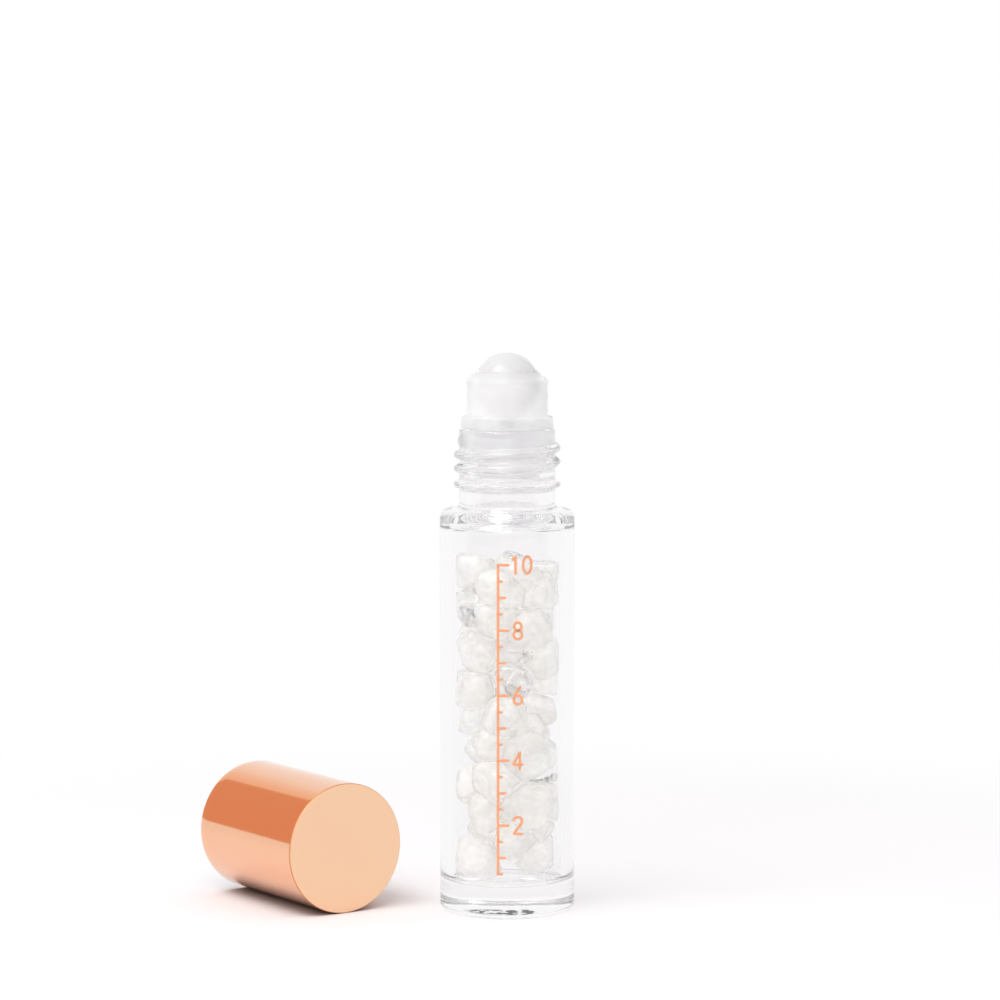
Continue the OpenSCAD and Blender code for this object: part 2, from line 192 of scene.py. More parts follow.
# %% A socket that can be calculated with, and a finish that owns the tree
class Wire:
    """A node's output that takes part in expressions."""

    def __init__(self, finish, socket):
        self.finish, self.socket = finish, socket

    def _math(self, operation, *values):
        return self.finish.node("Math", {"operation": operation}, dict(enumerate(values)))

    def __add__(self, other):
        return self._math("ADD", self, other)

    def __sub__(self, other):
        return self._math("SUBTRACT", self, other)

    def __mul__(self, other):
        return self._math("MULTIPLY", self, other)

    def __radd__(self, other):
        return self._math("ADD", other, self)

    def __rsub__(self, other):
        return self._math("SUBTRACT", other, self)

    def __rmul__(self, other):
        return self._math("MULTIPLY", other, self)

    def sharp(self, low, high):
        """0 below low, 1 above high, and a smooth rise between."""
        settings = {"interpolation_type": "SMOOTHSTEP"}
        return self.finish.node("MapRange", settings, {0: self, 1: low, 2: high})


class Finish:
    """A material or world whose nodes are added one call at a time."""

    def __init__(self, name, holder=None):
        self.holder = holder or bpy.data.materials.new(name)
        self.holder.use_nodes = True
        self.tree = self.holder.node_tree
        self.tree.nodes.clear()

    def node(self, kind, settings=None, inputs=None, output=0):
        """Adds a node, sets it up, fills its sockets, and returns one output as a Wire."""
        made = self.tree.nodes.new("ShaderNode" + kind)
        for key, value in (settings or {}).items():
            setattr(made, key, value)
        for key, value in (inputs or {}).items():
            if isinstance(value, Wire):
                self.tree.links.new(value.socket, made.inputs[key])
            else:
                made.inputs[key].default_value = value
        return Wire(self, made.outputs[output]) if made.outputs else None

    def place(self, space="Object"):
        """Where a point lies, as a vector."""
        return self.node("TexCoord", output=space)

    def along(self, axis, space="Object"):
        """How far a point lies along X, Y or Z."""
        return self.node("SeparateXYZ", {}, {0: self.place(space)}, output=axis)

    def toward(self, way):
        """How far a point lies along a direction of unit length: their dot product."""
        inputs = {0: self.place(), 1: tuple(way)}
        return self.node("VectorMath", {"operation": "DOT_PRODUCT"}, inputs, output="Value")

    def noise(self, scale, detail=3, roughness=0.5, stretch=(1, 1, 1)):
        """Cloudy noise on Object coordinates, in lumps of about 1/scale metres."""
        spread = self.node("Mapping", {}, {0: self.place(), "Scale": stretch})
        inputs = {"Vector": spread, "Scale": scale, "Detail": detail, "Roughness": roughness}
        return self.node("TexNoise", {}, inputs)

    def mix(self, share, first, second):
        """Two colours blended by a share."""
        return self.node("Mix", {"data_type": "RGBA"}, {0: share, 6: first, 7: second}, output=2)

    def path(self, output):
        """What kind of ray meets the surface, or how many turns it has taken."""
        return self.node("LightPath", output=output)

    def bumped(self, height, strength, distance):
        """A normal that leans with the height."""
        inputs = {"Height": height, "Strength": strength, "Distance": distance}
        return self.node("Bump", {}, inputs)

    def shader(self, **inputs):
        """The Principled shader with these sockets."""
        names = {key.replace("_", " "): value for key, value in inputs.items()}
        return self.node("BsdfPrincipled", {}, names)

    def glow(self, colour, kind="Emission"):
        """A shader that sends out one colour, whatever light falls on it."""
        return self.node(kind, {}, {"Color": colour})

    def blend(self, share, first, second):
        """Two shaders mixed by a share."""
        return self.node("MixShader", {}, {0: share, 1: first, 2: second})

    def light_through(self, shader, tint, share=1.0):
        """Lets a share of the light that falls on things behind a shader go straight on."""
        falling = self.path("Is Shadow Ray") + self.path("Is Diffuse Ray")
        open_way = self.node("BsdfTransparent", {}, {"Color": tint})
        return self.blend(falling * share, shader, open_way)

    def surface(self, shader):
        """Joins a shader to the output, and returns the finished material."""
        self.node("OutputMaterial", {}, {"Surface": shader})
        return self.holder


def rgb(red, green, blue):
    """A colour with the alpha that sockets ask for."""
    return (red, green, blue, 1)


def dress(piece, finish, body, node):
    """Gives a piece its finish, and puts it in the place of a CAD node on its body."""
    piece.data.materials.clear()
    piece.data.materials.append(finish)
    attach(piece, body)
    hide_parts(node)
    print(piece.name, "faces", len(piece.data.polygons))


# %% [markdown]
# The glass
#
# Thick soda-lime glass is one closed surface: up the outside, over the lip and down the
# inside. Its look comes from what it bends, so the profile is true, with round corners, and
# a faint waviness stands for moulded glass. The thread is a ridge whose height follows a
# helix, added to the neck's radius point by point. A thread swept along a curve and joined on
# would leave a seam, which shows in glass.

# %% Profile of the glass
def bottle_profile():
    """Radius and height from the middle of the foot, up the outside and down the inside.

    Each row is one form: hollow foot, ring, heel, side, shoulder, fillet, neck, two halves of
    the lip, bore, throat, inner shoulder, inner wall, inner corner and inner floor.
    """
    outer, cavity = BODY_R - SKIN, BODY_R - WALL
    slope = 10
    shoulder_r, fillet_r, lip_r = 1.7 * MM, 0.45 * MM, 0.4 * MM
    foot_ring, foot_r, push_up = 7.4 * MM, 0.3 * MM, 0.6 * MM
    throat_r, throat_z = 0.8 * MM, 59.4 * MM
    inner_r, inner_z, corner_r = 1.9 * MM, 56.6 * MM, 1.3 * MM
    fine, coarse = 0.09 * MM, 2 * MM
    dome = np.linspace(0, 0.94, 14)[:, None]
    neck = line((NECK_R, NECK_Z + 0.4 * MM), (NECK_R, LIP_Z - lip_r), step=fine)
    return np.concatenate([
        np.hstack([foot_ring * dome, push_up * (1 - dome**2)]),
        arc(foot_ring + foot_r, foot_r, foot_r, 240, 270, 4),
        arc(outer - HEEL_R, HEEL_R, HEEL_R, -90, 0, 14),
        line((outer, HEEL_R + 0.3 * MM), (outer, BODY_H), step=coarse),
        arc(outer - shoulder_r, BODY_H, shoulder_r, 2, 90 - slope, 18),
        arc(NECK_R + fillet_r, NECK_Z + 0.36 * MM, fillet_r, 270 - slope, 180, 8),
        neck[1:],
        arc(NECK_R - lip_r, LIP_Z - lip_r, lip_r, 5, 90, 8),
        arc(BORE_R + lip_r, LIP_Z - lip_r, lip_r, 90, 180, 8),
        line((BORE_R, LIP_Z - lip_r - 0.2 * MM), (BORE_R, throat_z + 0.1 * MM), step=1 * MM),
        arc(BORE_R + throat_r, throat_z, throat_r, 180, 270 - slope, 16),
        arc(cavity - inner_r, inner_z, inner_r, 90 - slope, 0, 20),
        line((cavity, inner_z - 0.3 * MM), (cavity, BASE_T + 1.6 * MM), step=coarse),
        arc(cavity - corner_r, BASE_T + corner_r, corner_r, 0, -90, 12),
        line((cavity - 1.9 * MM, BASE_T), (0, BASE_T), step=1 * MM),
    ])


# %% How high a thread stands
def thread_rise(angle, z, low_z, low_angle, turns, low_fade, top_fade):
    """How high a helical ridge stands at each angle (degrees) and height, from 0 to 1.

    The ridge's middle rises by one pitch a turn. Each turn that passes an angle adds a
    bump about its own height there. At each end it fades as a smooth step: 3 s^2 - 2 s^3.
    """
    rise = np.zeros(np.broadcast(angle, z).shape)
    for turn in range(int(np.ceil(turns)) + 1):
        gone = (angle - low_angle) % 360 + 360 * turn
        fade = np.clip(np.minimum(gone / low_fade, (360 * turns - gone) / top_fade), 0, 1)
        middle = low_z + THREAD_PITCH * gone / 360
        rise = np.maximum(rise, fade**2 * (3 - 2 * fade) * bump((z - middle) / THREAD_HALF_W))
    return rise


def grown(grid, wall_r, rise):
    """Moves the points of a turned wall of radius wall_r outwards by rise, in place."""
    r = np.hypot(grid[..., 0], grid[..., 1])
    on_wall = np.abs(r - wall_r) < SAME
    grid[..., :2] *= np.where(on_wall, (r + rise) / np.maximum(r, TINY), 1)[..., None]
    return grid


# %% Glass bottle with its bead and thread
glass_grid = turned(bottle_profile(), 256)
angle = np.degrees(np.arctan2(glass_grid[..., 1], glass_grid[..., 0]))
height = glass_grid[..., 2]
bead = bump((height - BEAD_Z) / THREAD_HALF_W)
thread = thread_rise(angle, height, THREAD_Z, THREAD_LOW_ANGLE, THREAD_TURNS,
                     THREAD_LOW_FADE, THREAD_TOP_FADE)
ridge = np.where(height > NECK_Z, np.maximum(bead, thread), 0)
glass = grid_mesh("glass_bottle_shell", grown(glass_grid, NECK_R, THREAD_H * ridge))

# %% [markdown]
# The glass is clear and nearly without colour. Its finish is the Principled shader with full
# transmission. Real glass throws light on what lies behind it, which takes a renderer very
# long, so here a share of the light that falls on the chips goes straight through instead.

# %% Clear glass
glass_finish = Finish("clear_glass")
ripple = glass_finish.noise(70, detail=1, stretch=(1, 1, 0.35))
clear = glass_finish.shader(
    Base_Color=rgb(0.99, 0.988, 0.99), Roughness=ripple * 0.012, IOR=1.5,
    Transmission_Weight=1.0, Normal=glass_finish.bumped(ripple, 0.04, 0.3 * MM))
glass_material = glass_finish.surface(glass_finish.light_through(clear, rgb(0.97, 0.968, 0.97)))
dress(glass, glass_material, "glass_bottle", "bottle")

# %% [markdown]
# Ball holder
#
# The holder is one moulding: a plug with sealing ribs, a flange and a cup that closes over the
# ball. It could be a stack of cylinders, but one turned profile has no joints inside, which
# would show in a see-through plastic. The plug is a press fit: its broad ribs and its tight
# band touch the glass, so that no thin gap of air mirrors light between the two.

# %% Holder: plug, flange and cup in one turned profile
def holder_profile():
    """Up the outside from the plug's lower edge, over the lip and down the passages.

    Each rib is flat-topped and mirrored about its own middle. The socket is an arc about the
    ball's middle, from the cup's lip down to the feed hole.
    """
    seal, press = BORE_R + 0.02 * MM, 0.2 * MM
    plug, bore, well, feed = 4.55 * MM, 3.6 * MM, 2.4 * MM, 1.1 * MM
    flange_z, flange_low_r, flange_top_r = LIP_Z + 0.05 * MM, 6.75 * MM, 6.71 * MM
    flange_top, flange_edge = flange_z + 1.75 * MM, 0.25 * MM
    cup, cup_foot, cup_edge, thin_lip = 5.97 * MM, 0.15 * MM, 0.83 * MM, 0.07 * MM
    rib_side = line((plug, -0.7 * MM), (plug + 0.04 * MM, -0.69 * MM),
                    (seal - 0.05 * MM, -0.62 * MM), (seal, -0.57 * MM))
    rib = np.concatenate([rib_side, rib_side[::-1] * (1, -1)])
    ribs = [rib + (0, PLUG_Z + middle * MM) for middle in (1.4, 3.13, 4.87)]
    socket_r = BALL_R + 0.06 * MM
    lip_drop = np.degrees(np.arcsin((CUP_TOP_Z - BALL_Z) / socket_r))
    mouth = socket_r * np.cos(np.radians(lip_drop))
    feed_turn = -np.degrees(np.arccos(feed / socket_r))
    return np.concatenate([
        line((4.08 * MM, PLUG_Z), (plug, PLUG_Z + 0.68 * MM)),
        *ribs,
        arc(seal - press, PLUG_Z + 5.9 * MM, press, -60, 0, 4),
        line((seal, LIP_Z), (seal, flange_z)),
        arc(flange_low_r, flange_z + 0.1 * MM, 0.1 * MM, -90, 0, 4),
        arc(flange_top_r - flange_edge, flange_top - flange_edge, flange_edge, 5, 90, 7),
        arc(cup + cup_foot, flange_top + cup_foot, cup_foot, 270, 180, 5),
        line((cup, flange_top + 0.6 * MM), (cup, CUP_TOP_Z - 1.75 * MM), step=1 * MM),
        arc(cup - cup_edge, CUP_TOP_Z - 1.65 * MM, cup_edge, 4, 50, 10),
        arc(mouth + 0.1 * MM, CUP_TOP_Z - thin_lip, thin_lip, 50, 140, 5),
        arc(0, BALL_Z, socket_r, lip_drop - 1, feed_turn, 40),
        line((feed, BALL_Z - 4.9 * MM), (feed, PLUG_Z + 7.75 * MM)),
        line((well - 0.1 * MM, PLUG_Z + 7.7 * MM), (well, PLUG_Z + 7.6 * MM)),
        line((well, PLUG_Z + 4.9 * MM), (well + 0.1 * MM, PLUG_Z + 4.8 * MM)),
        line((bore - 0.1 * MM, PLUG_Z + 4.8 * MM), (bore, PLUG_Z + 4.7 * MM)),
        line((bore, PLUG_Z + 0.1 * MM), (bore + 0.1 * MM, PLUG_Z)),
    ])


holder = grid_mesh("ball_holder_moulding", turned(holder_profile(), 160), wrap_rows=True)
print("plug", round((LIP_Z - PLUG_Z) / MM, 2), "mm long")

# %% [markdown]
# The plastic is natural, without dye, so light goes in and scatters. Subsurface scattering
# gives it depth, and a low Alpha lets part of what lies behind show. The plug and the flange
# carry painted shade: the same plastic has darker tones there than on the thin cup, so that
# the plug looks greyer through the glass. The cup's lip, drawn over the pale ball, is the
# clearest part. One finish does this, with a tone and an Alpha that change with height.

# %% Natural plastic, with painted shade by height
holder_finish = Finish("natural_plastic")
cloud = holder_finish.noise(260, detail=2)
up = holder_finish.along("Z")
thin = up.sharp(LIP_Z + 1.7 * MM, LIP_Z + 1.9 * MM)
lip_part = up.sharp(CUP_TOP_Z - 2.8 * MM, CUP_TOP_Z - 0.9 * MM)
cup_tone = holder_finish.mix(cloud, rgb(0.945, 0.945, 0.955), rgb(0.96, 0.96, 0.965))
# Painted shade: the plug in the neck and the flange take darker tones than the thin cup.
out_of_glass = up.sharp(LIP_Z - 0.1 * MM, LIP_Z)
shaded_plug_and_flange = holder_finish.mix(out_of_glass, rgb(0.82, 0.82, 0.825), rgb(0.725, 0.73, 0.735))
resin = holder_finish.shader(
    Base_Color=holder_finish.mix(thin, shaded_plug_and_flange, cup_tone),
    Roughness=0.3 + 0.1 * cloud, IOR=1.5, Subsurface_Weight=1.0, Subsurface_Radius=(1, 1, 1),
    Subsurface_Scale=2.5 * MM, Alpha=0.28 + 0.12 * cloud + 0.16 * (thin - lip_part),
    Normal=holder_finish.bumped(cloud, 0.05, 0.1 * MM))
holder_material = holder_finish.surface(
    holder_finish.light_through(resin, rgb(0.98, 0.975, 0.98), 0.5))
dress(holder, holder_material, "ball_holder", "roller_housing")

# %% [markdown]
# Ball
#
# The ball is polished and faintly pearly. A primitive sphere would do, but the same turning
# function makes one whose mesh already lies at its real place.

# %% Ball
def ball_grid(middle_z, r, rows=64, columns=96):
    """A sphere by latitude and longitude."""
    latitude = np.linspace(-np.pi / 2, np.pi / 2, rows)
    profile = np.stack([r * np.cos(latitude), middle_z + r * np.sin(latitude)], -1)
    profile[[0, -1], 0] = 0
    return turned(profile, columns)


ball = grid_mesh("polished_ball", ball_grid(BALL_Z, BALL_R - SKIN / 4))
ball_finish = Finish("pearl_ball")
swirl = ball_finish.noise(140, detail=2, roughness=0.6)
pearl = ball_finish.mix(swirl.sharp(0.35, 0.65), rgb(0.71, 0.695, 0.7), rgb(0.69, 0.695, 0.7))
ball_material = ball_finish.surface(ball_finish.shader(
    Base_Color=pearl, Roughness=0.16 + 0.06 * swirl, IOR=1.5, Subsurface_Weight=1.0,
    Subsurface_Radius=(1, 1, 1), Subsurface_Scale=1.5 * MM))
dress(ball, ball_material, "ball", "roller_ball")

# %% [markdown]
# The cap
#
# The shell is drawn from aluminium sheet, turned bright and dyed rose gold, so it is a metal
# with a mirror side and a satin end. The pieces are turned upright about Z and then laid
# down, which is one rotation and one move of the whole array. Turning the object instead would
# be undone by the hand-over, which puts every object at the origin.

# %% Laying a turned piece down where the cap lies
def laid(grid):
    """An upright cap (mouth at 0, closed end up) turned on its side at its real place.

    The cap's axis goes from +Z to -Y, then round by the cap's turn. Its middle goes to the
    middle of the cap's node.
    """
    x, y, z = grid[..., 0], grid[..., 1], grid[..., 2] - CAP_LENGTH / 2
    flat_x = x * np.cos(CAP_TURN) + z * np.sin(CAP_TURN)
    flat_y = x * np.sin(CAP_TURN) - z * np.cos(CAP_TURN)
    return np.stack([flat_x, flat_y, y], -1) + np.array(CAP_MIDDLE)


def shell_profile():
    """The shell's wall: its closed end, side and mouth, then back along the inside."""
    outer, inner = CAP_R - SKIN, CAP_R - SHELL_WALL
    end = CAP_LENGTH - SKIN
    end_inside = end - SHELL_WALL
    edge, rim, corner = 0.2 * MM, 0.15 * MM, 0.2 * MM
    return np.concatenate([
        line((0, end), (outer - edge, end), step=1 * MM),
        arc(outer - edge, end - edge, edge, 80, 0, 9),
        line((outer, end - 0.6 * MM), (outer, rim), step=1.5 * MM)[:-1],
        arc(outer - rim, rim, rim, 0, -180, 9),
        line((inner, 0.6 * MM), (inner, end_inside - 0.3 * MM), step=2 * MM),
        arc(inner - corner, end_inside - corner, corner, 0, 90, 4),
        line((inner - 0.5 * MM, end_inside), (0, end_inside), step=2 * MM),
    ])[::-1]


# %% Metal shell
shell = grid_mesh("cap_metal_shell", laid(turned(shell_profile(), 256)))
CAP_AXIS = np.array([np.sin(CAP_TURN), -np.cos(CAP_TURN), 0])
end_reach = float(CAP_AXIS @ CAP_MIDDLE) + CAP_LENGTH / 2
print("closed end", round(end_reach / MM, 2), "mm from the origin along the cap's axis")

# %% [markdown]
# The metal's colour is its Base Color at Metallic 1. Where the side ends and the closed end
# begins is read from how far a point lies along the cap's axis, so one finish holds the mirror
# side, a deeper line of painted shade where the metal turns round the rim, and the paler satin
# end.

# %% Rose-gold metal
metal = Finish("rose_gold_metal")
reach = metal.toward(CAP_AXIS)
on_end = reach.sharp(end_reach - 0.06 * MM, end_reach - 0.035 * MM)
on_rim = reach.sharp(end_reach - 0.28 * MM, end_reach - 0.2 * MM)
grain = metal.noise(900, detail=4, roughness=0.7)
streak = metal.noise(60, detail=2)
bright_side = metal.mix(streak, rgb(0.885, 0.475, 0.285), rgb(0.90, 0.505, 0.315))
# The rim's deeper colour is painted shade; its higher roughness is the turned chamfer's own.
side_and_shaded_rim = metal.mix(on_rim, bright_side, rgb(0.72, 0.3, 0.13))
metal_material = metal.surface(metal.shader(
    Base_Color=metal.mix(on_end, side_and_shaded_rim, rgb(0.915, 0.605, 0.405)), Metallic=1.0,
    Roughness=0.08 + 0.04 * grain + 0.36 * on_rim, Coat_Weight=0.25 * (1 - on_rim),
    Coat_Roughness=0.06, Normal=metal.bumped(grain, 0.02, 0.05 * MM)))
dress(shell, metal_material, "cap", "cap_shell")

# %% [markdown]
# The liner is glued into the shell and shows only at the cap's mouth: a threaded skirt, a web,
# a narrower tube and the ring that seals the ball. Its thread is the same ridge as the neck's,
# growing inwards.

# %% Liner of the cap
def liner_profile():
    """Down the outside from the closed end, round the mouth and up the inside."""
    skirt, inset, bore = 9.25 * MM, 0.5 * MM, LINER_BORE_R
    web_low, web_high = 13.2 * MM, 14.2 * MM
    tube_in, tube_out, top, top_in = 6.37 * MM, 7.37 * MM, 25.45 * MM, 24.35 * MM
    ring_in, ring_out, ring_z = 2.6 * MM, 3.4 * MM, 21.63 * MM
    edge, lead, chamfer = 0.2 * MM, 0.3 * MM, 0.1 * MM
    fine, coarse = 0.12 * MM, 2 * MM
    return np.concatenate([
        line((0, top), (skirt, top), step=coarse),
        line((skirt, top_in), (tube_out, top_in), (tube_out, web_high), (skirt, web_high),
             step=coarse),
        line((skirt, web_high - chamfer), (skirt, inset + edge), step=coarse),
        arc(skirt - edge, inset + edge, edge, -10, -90, 4),
        arc(bore + lead, inset + lead, lead, 270, 180, 5),
        line((bore, inset + 0.4 * MM), (bore, web_low - chamfer), step=fine),
        line((bore - chamfer, web_low), (tube_in + chamfer, web_low),
             (tube_in, web_low + chamfer)),
        line((tube_in, web_high), (tube_in, top_in), step=coarse),
        line((ring_out, top_in), (ring_out, ring_z), (ring_in, ring_z), (ring_in, top_in),
             (0, top_in)),
    ])[::-1]


liner_grid = turned(liner_profile(), 192)
liner_angle = np.degrees(np.arctan2(liner_grid[..., 1], liner_grid[..., 0]))
inward = thread_rise(liner_angle, liner_grid[..., 2], LINER_THREAD_Z, 0, LINER_THREAD_TURNS,
                     LINER_THREAD_FADE, LINER_THREAD_FADE)
liner = grid_mesh("cap_threaded_liner",
                  laid(grown(liner_grid, LINER_BORE_R, -THREAD_H * inward)))
liner_finish = Finish("liner_plastic")
mottle = liner_finish.noise(500, detail=3)
liner_material = liner_finish.surface(liner_finish.shader(
    Base_Color=liner_finish.mix(mottle, rgb(0.86, 0.86, 0.85), rgb(0.91, 0.91, 0.90)),
    Roughness=0.4 + 0.15 * mottle, Subsurface_Weight=0.2, Subsurface_Scale=1 * MM,
    Normal=liner_finish.bumped(mottle, 0.1, 0.05 * MM)))
dress(liner, liner_material, "cap", "cap_liner")

# %% [markdown]
# The quartz
#
# Each chip in the frame is a lump with flat broken faces. A tumbled chip has the same faces
# with their edges worn round, so each new chip is the solid that a soft minimum of those
# planes encloses. Most are milky, and some are clear enough to bend what lies behind them.

# %% The planes of a chip's faces
SLIVER_SHARE = 1e-4
LEAST_OFFSET = 0.3 * MM


def column(items, key, width):
    """One property of all the vertices or faces of a mesh, as rows of an array."""
    values = np.zeros(len(items) * width)
    items.foreach_get(key, values)
    return values.reshape(-1, width)


def face_planes(node):
    """The middle of a chip, and each flat face's outward direction and distance from it.

    A face with normal n and a corner c lies at n.(c - middle). Slivers and repeated
    directions are left out.
    """
    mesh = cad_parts[node].data
    points = column(mesh.vertices, "co", 3)
    normals = column(mesh.polygons, "normal", 3)
    areas = column(mesh.polygons, "area", 1)[:, 0]
    firsts = np.array([polygon.vertices[0] for polygon in mesh.polygons])
    middle = (points.min(0) + points.max(0)) / 2
    offsets = np.einsum("ij,ij->i", normals, points[firsts] - middle)
    keep = areas > areas.max() * SLIVER_SHARE
    _, distinct = np.unique(np.round(normals[keep], 2), axis=0, return_index=True)
    return middle, normals[keep][distinct], np.maximum(offsets[keep][distinct], LEAST_OFFSET)


# %% Worn lumps from flat faces
WAVE_COUNT = 6
DENT = 0.03


def worn_lump(middle, normals, offsets, sharpness, rng, rows=30, columns=44):
    """A closed lump round middle whose reach in each direction is a soft minimum.

    A plane at distance d with normal n is met at d / (n.u) in direction u. The p-norm of
    all (n.u)/d is a rounded version of the largest, so its inverse is a little less than the
    nearest plane, and the edges come out round. Low waves then hollow the faces slightly.
    """
    latitude = np.linspace(-np.pi / 2, np.pi / 2, rows)[:, None]
    longitude = np.linspace(0, 2 * np.pi, columns, endpoint=False)[None]
    u = np.stack([np.cos(latitude) * np.cos(longitude), np.cos(latitude) * np.sin(longitude),
                  np.sin(latitude) + 0 * longitude], -1)
    u[[0, -1], :, :2] = 0
    facing = np.maximum(u @ (normals / offsets[:, None]).T * MM, 0)
    reach = MM * (facing**sharpness).sum(-1) ** (-1 / sharpness)
    waves = rng.normal(size=(WAVE_COUNT, 3))
    waves *= rng.uniform(2.5, 7, (WAVE_COUNT, 1)) / np.linalg.norm(waves, axis=1, keepdims=True)
    hollow = np.sin(u @ waves.T + rng.uniform(0, 6.28, WAVE_COUNT)).mean(-1)
    reach *= 1 - DENT * (1 + hollow)
    return middle + u * reach[..., None]


# %% [markdown]
# Quartz is clear in itself, and fine cracks inside make it milky. A volume would show that
# truly but takes long to render and can't be baked, so the milk is a share of the surface that
# scatters, in cloudy veils. The photograph's chips are nearly one pale mass, so the tones lie
# close together.

# %% Three kinds of quartz
def quartz_finish(name, least_milk, most_milk):
    """Milky quartz: light scatters in its veils, and goes straight on between them.

    The veils are a share that runs from least_milk to most_milk with a cloudy noise, and
    sets how much of the stone's surface scatters.
    """
    stone = Finish(name)
    veil = stone.noise(300, detail=4, roughness=0.6).sharp(0.35, 0.65)
    pits = stone.noise(1500, detail=3)
    milk = stone.shader(
        Base_Color=stone.mix(veil, rgb(0.946, 0.936, 0.895), rgb(0.938, 0.923, 0.873)),
        Roughness=0.25 + 0.15 * veil, IOR=1.54, Subsurface_Weight=1.0,
        Subsurface_Radius=(1, 1, 1), Subsurface_Scale=2 * MM,
        Alpha=least_milk + (most_milk - least_milk) * veil,
        Normal=stone.bumped(pits, 0.08, 0.08 * MM))
    return stone.surface(stone.light_through(milk, rgb(0.99, 0.985, 0.98), 0.8))


def clear_finish():
    """Clear quartz, which bends what lies behind it, with a slightly worn skin."""
    stone = Finish("clear_quartz")
    wear = stone.noise(800, detail=3)
    clear = stone.shader(
        Base_Color=rgb(0.985, 0.985, 0.98), Roughness=0.02 + 0.05 * wear, IOR=1.54,
        Transmission_Weight=1.0, Normal=stone.bumped(wear, 0.1, 0.1 * MM))
    return stone.surface(stone.light_through(clear, rgb(0.98, 0.98, 0.98)))


KINDS = {
    "milky": quartz_finish("milky_quartz", 0.48, 0.7),
    "cloudy": quartz_finish("cloudy_quartz", 0.3, 0.52),
    "clear": clear_finish(),
}
KIND_SHARES = [0.4, 0.42, 0.18]
print("kinds of quartz:", dict(zip(KINDS, KIND_SHARES)))

# %% [markdown]
# Every lump takes the place of its own chip and lies inside the chip's planes, so that no two
# lumps run into each other. The random numbers come from generators with a fixed seed, which
# makes the same pile each time.

# %% A lump for each chip
def tilted_tops(middle, normals, offsets, pile_top, rng):
    """Adds a tilted plane to a chip of the top layer, which the frame cuts off level."""
    level = normals[:, 2] > 0.99
    if not level.any() or middle[2] + offsets[level].min() < pile_top - 0.1 * MM:
        return normals, offsets
    lean = np.append(rng.uniform(-0.55, 0.55, 2), 1)
    lower = offsets[level].min() * rng.uniform(0.45, 0.8)
    return np.vstack([normals, lean / np.linalg.norm(lean)]), np.append(offsets, lower)


chip_nodes = sorted(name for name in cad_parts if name.startswith("quartz_chip"))
pile_top = max(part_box(name)[1].z for name in chip_nodes)
leans = np.random.default_rng(9)
draws = np.random.default_rng(5)
for node in chip_nodes:
    middle, normals, offsets = face_planes(node)
    normals, offsets = tilted_tops(middle, normals, offsets, pile_top, leans)
    sharpness = draws.uniform(11, 22)
    kind = draws.choice(list(KINDS), p=KIND_SHARES)
    lump = grid_mesh("lump_" + node[-2:], worn_lump(middle, normals, offsets, sharpness, draws))
    dress(lump, KINDS[kind], "glass_bottle", node)

# %% [markdown]
# The print
#
# Copper ink is screen-printed on the front of the glass. Here it is a plain fill scale: a
# mark for each half millilitre, and a number at every second millilitre. An image on the glass
# would blur from close by, so each stroke is a ribbon with round ends, drawn flat and then
# wrapped on the glass.

# %% Strokes wrapped on the glass
INK_HALF_W = 0.2 * MM
INK_R = BODY_R - SKIN / 4
INK_DEPTH = 0.008 * MM
HALF_CIRCLE_STEPS = 6


def ribbon(path, half_width, across=5):
    """A strip along a flat path, with round ends, as a grid of points (x, z).

    At each point of the path the strip reaches half_width to both sides. Over each end the
    path runs on in a half circle, where the reach shrinks as sqrt(w^2 - s^2).
    """
    step = np.gradient(path, axis=0)
    step /= np.linalg.norm(step, axis=1, keepdims=True)
    turn = np.linspace(0, np.pi / 2, HALF_CIRCLE_STEPS)[:, None]
    head = path[0] - step[0] * half_width * np.cos(turn)
    tail = path[-1] + step[-1] * half_width * np.cos(turn[::-1])
    spine = np.concatenate([head, path, tail])
    ways = np.concatenate([np.repeat(step[:1], HALF_CIRCLE_STEPS, 0), step,
                           np.repeat(step[-1:], HALF_CIRCLE_STEPS, 0)])
    full = np.ones((len(path), 1))
    reach = np.concatenate([np.sin(turn), full, np.sin(turn[::-1])]) * half_width
    side = np.stack([-ways[:, 1], ways[:, 0]], -1)
    share = np.linspace(-1, 1, across)[:, None]
    return spine[:, None] + side[:, None] * (reach[:, None] * share)


def wrapped(flat, r):
    """Flat points (x, z) bent round the bottle's front at radius r, where x is arc length."""
    a = flat[..., 0] / r - np.pi / 2
    return np.stack([r * np.cos(a), r * np.sin(a), flat[..., 1]], -1)


def ink_stroke(flat):
    """A thin closed skin of ink: the wrapped strip, and its back a little further in."""
    front = wrapped(flat, INK_R)
    back = wrapped(flat, INK_R - INK_DEPTH)
    return np.concatenate([front, back[:, ::-1]], axis=1)


def skin_faces(skin, start):
    """Quads over a skin whose points begin at start, with its columns closed."""
    rows, columns = skin.shape[:2]
    index = start + np.arange(rows * columns).reshape(rows, columns)
    low, high = index[:-1], index[1:]
    quads = np.stack([low, high, np.roll(high, -1, 1), np.roll(low, -1, 1)], -1)
    return quads.reshape(-1, 4).tolist()


# %% Numerals
STROKE_STEP = 0.25 * MM


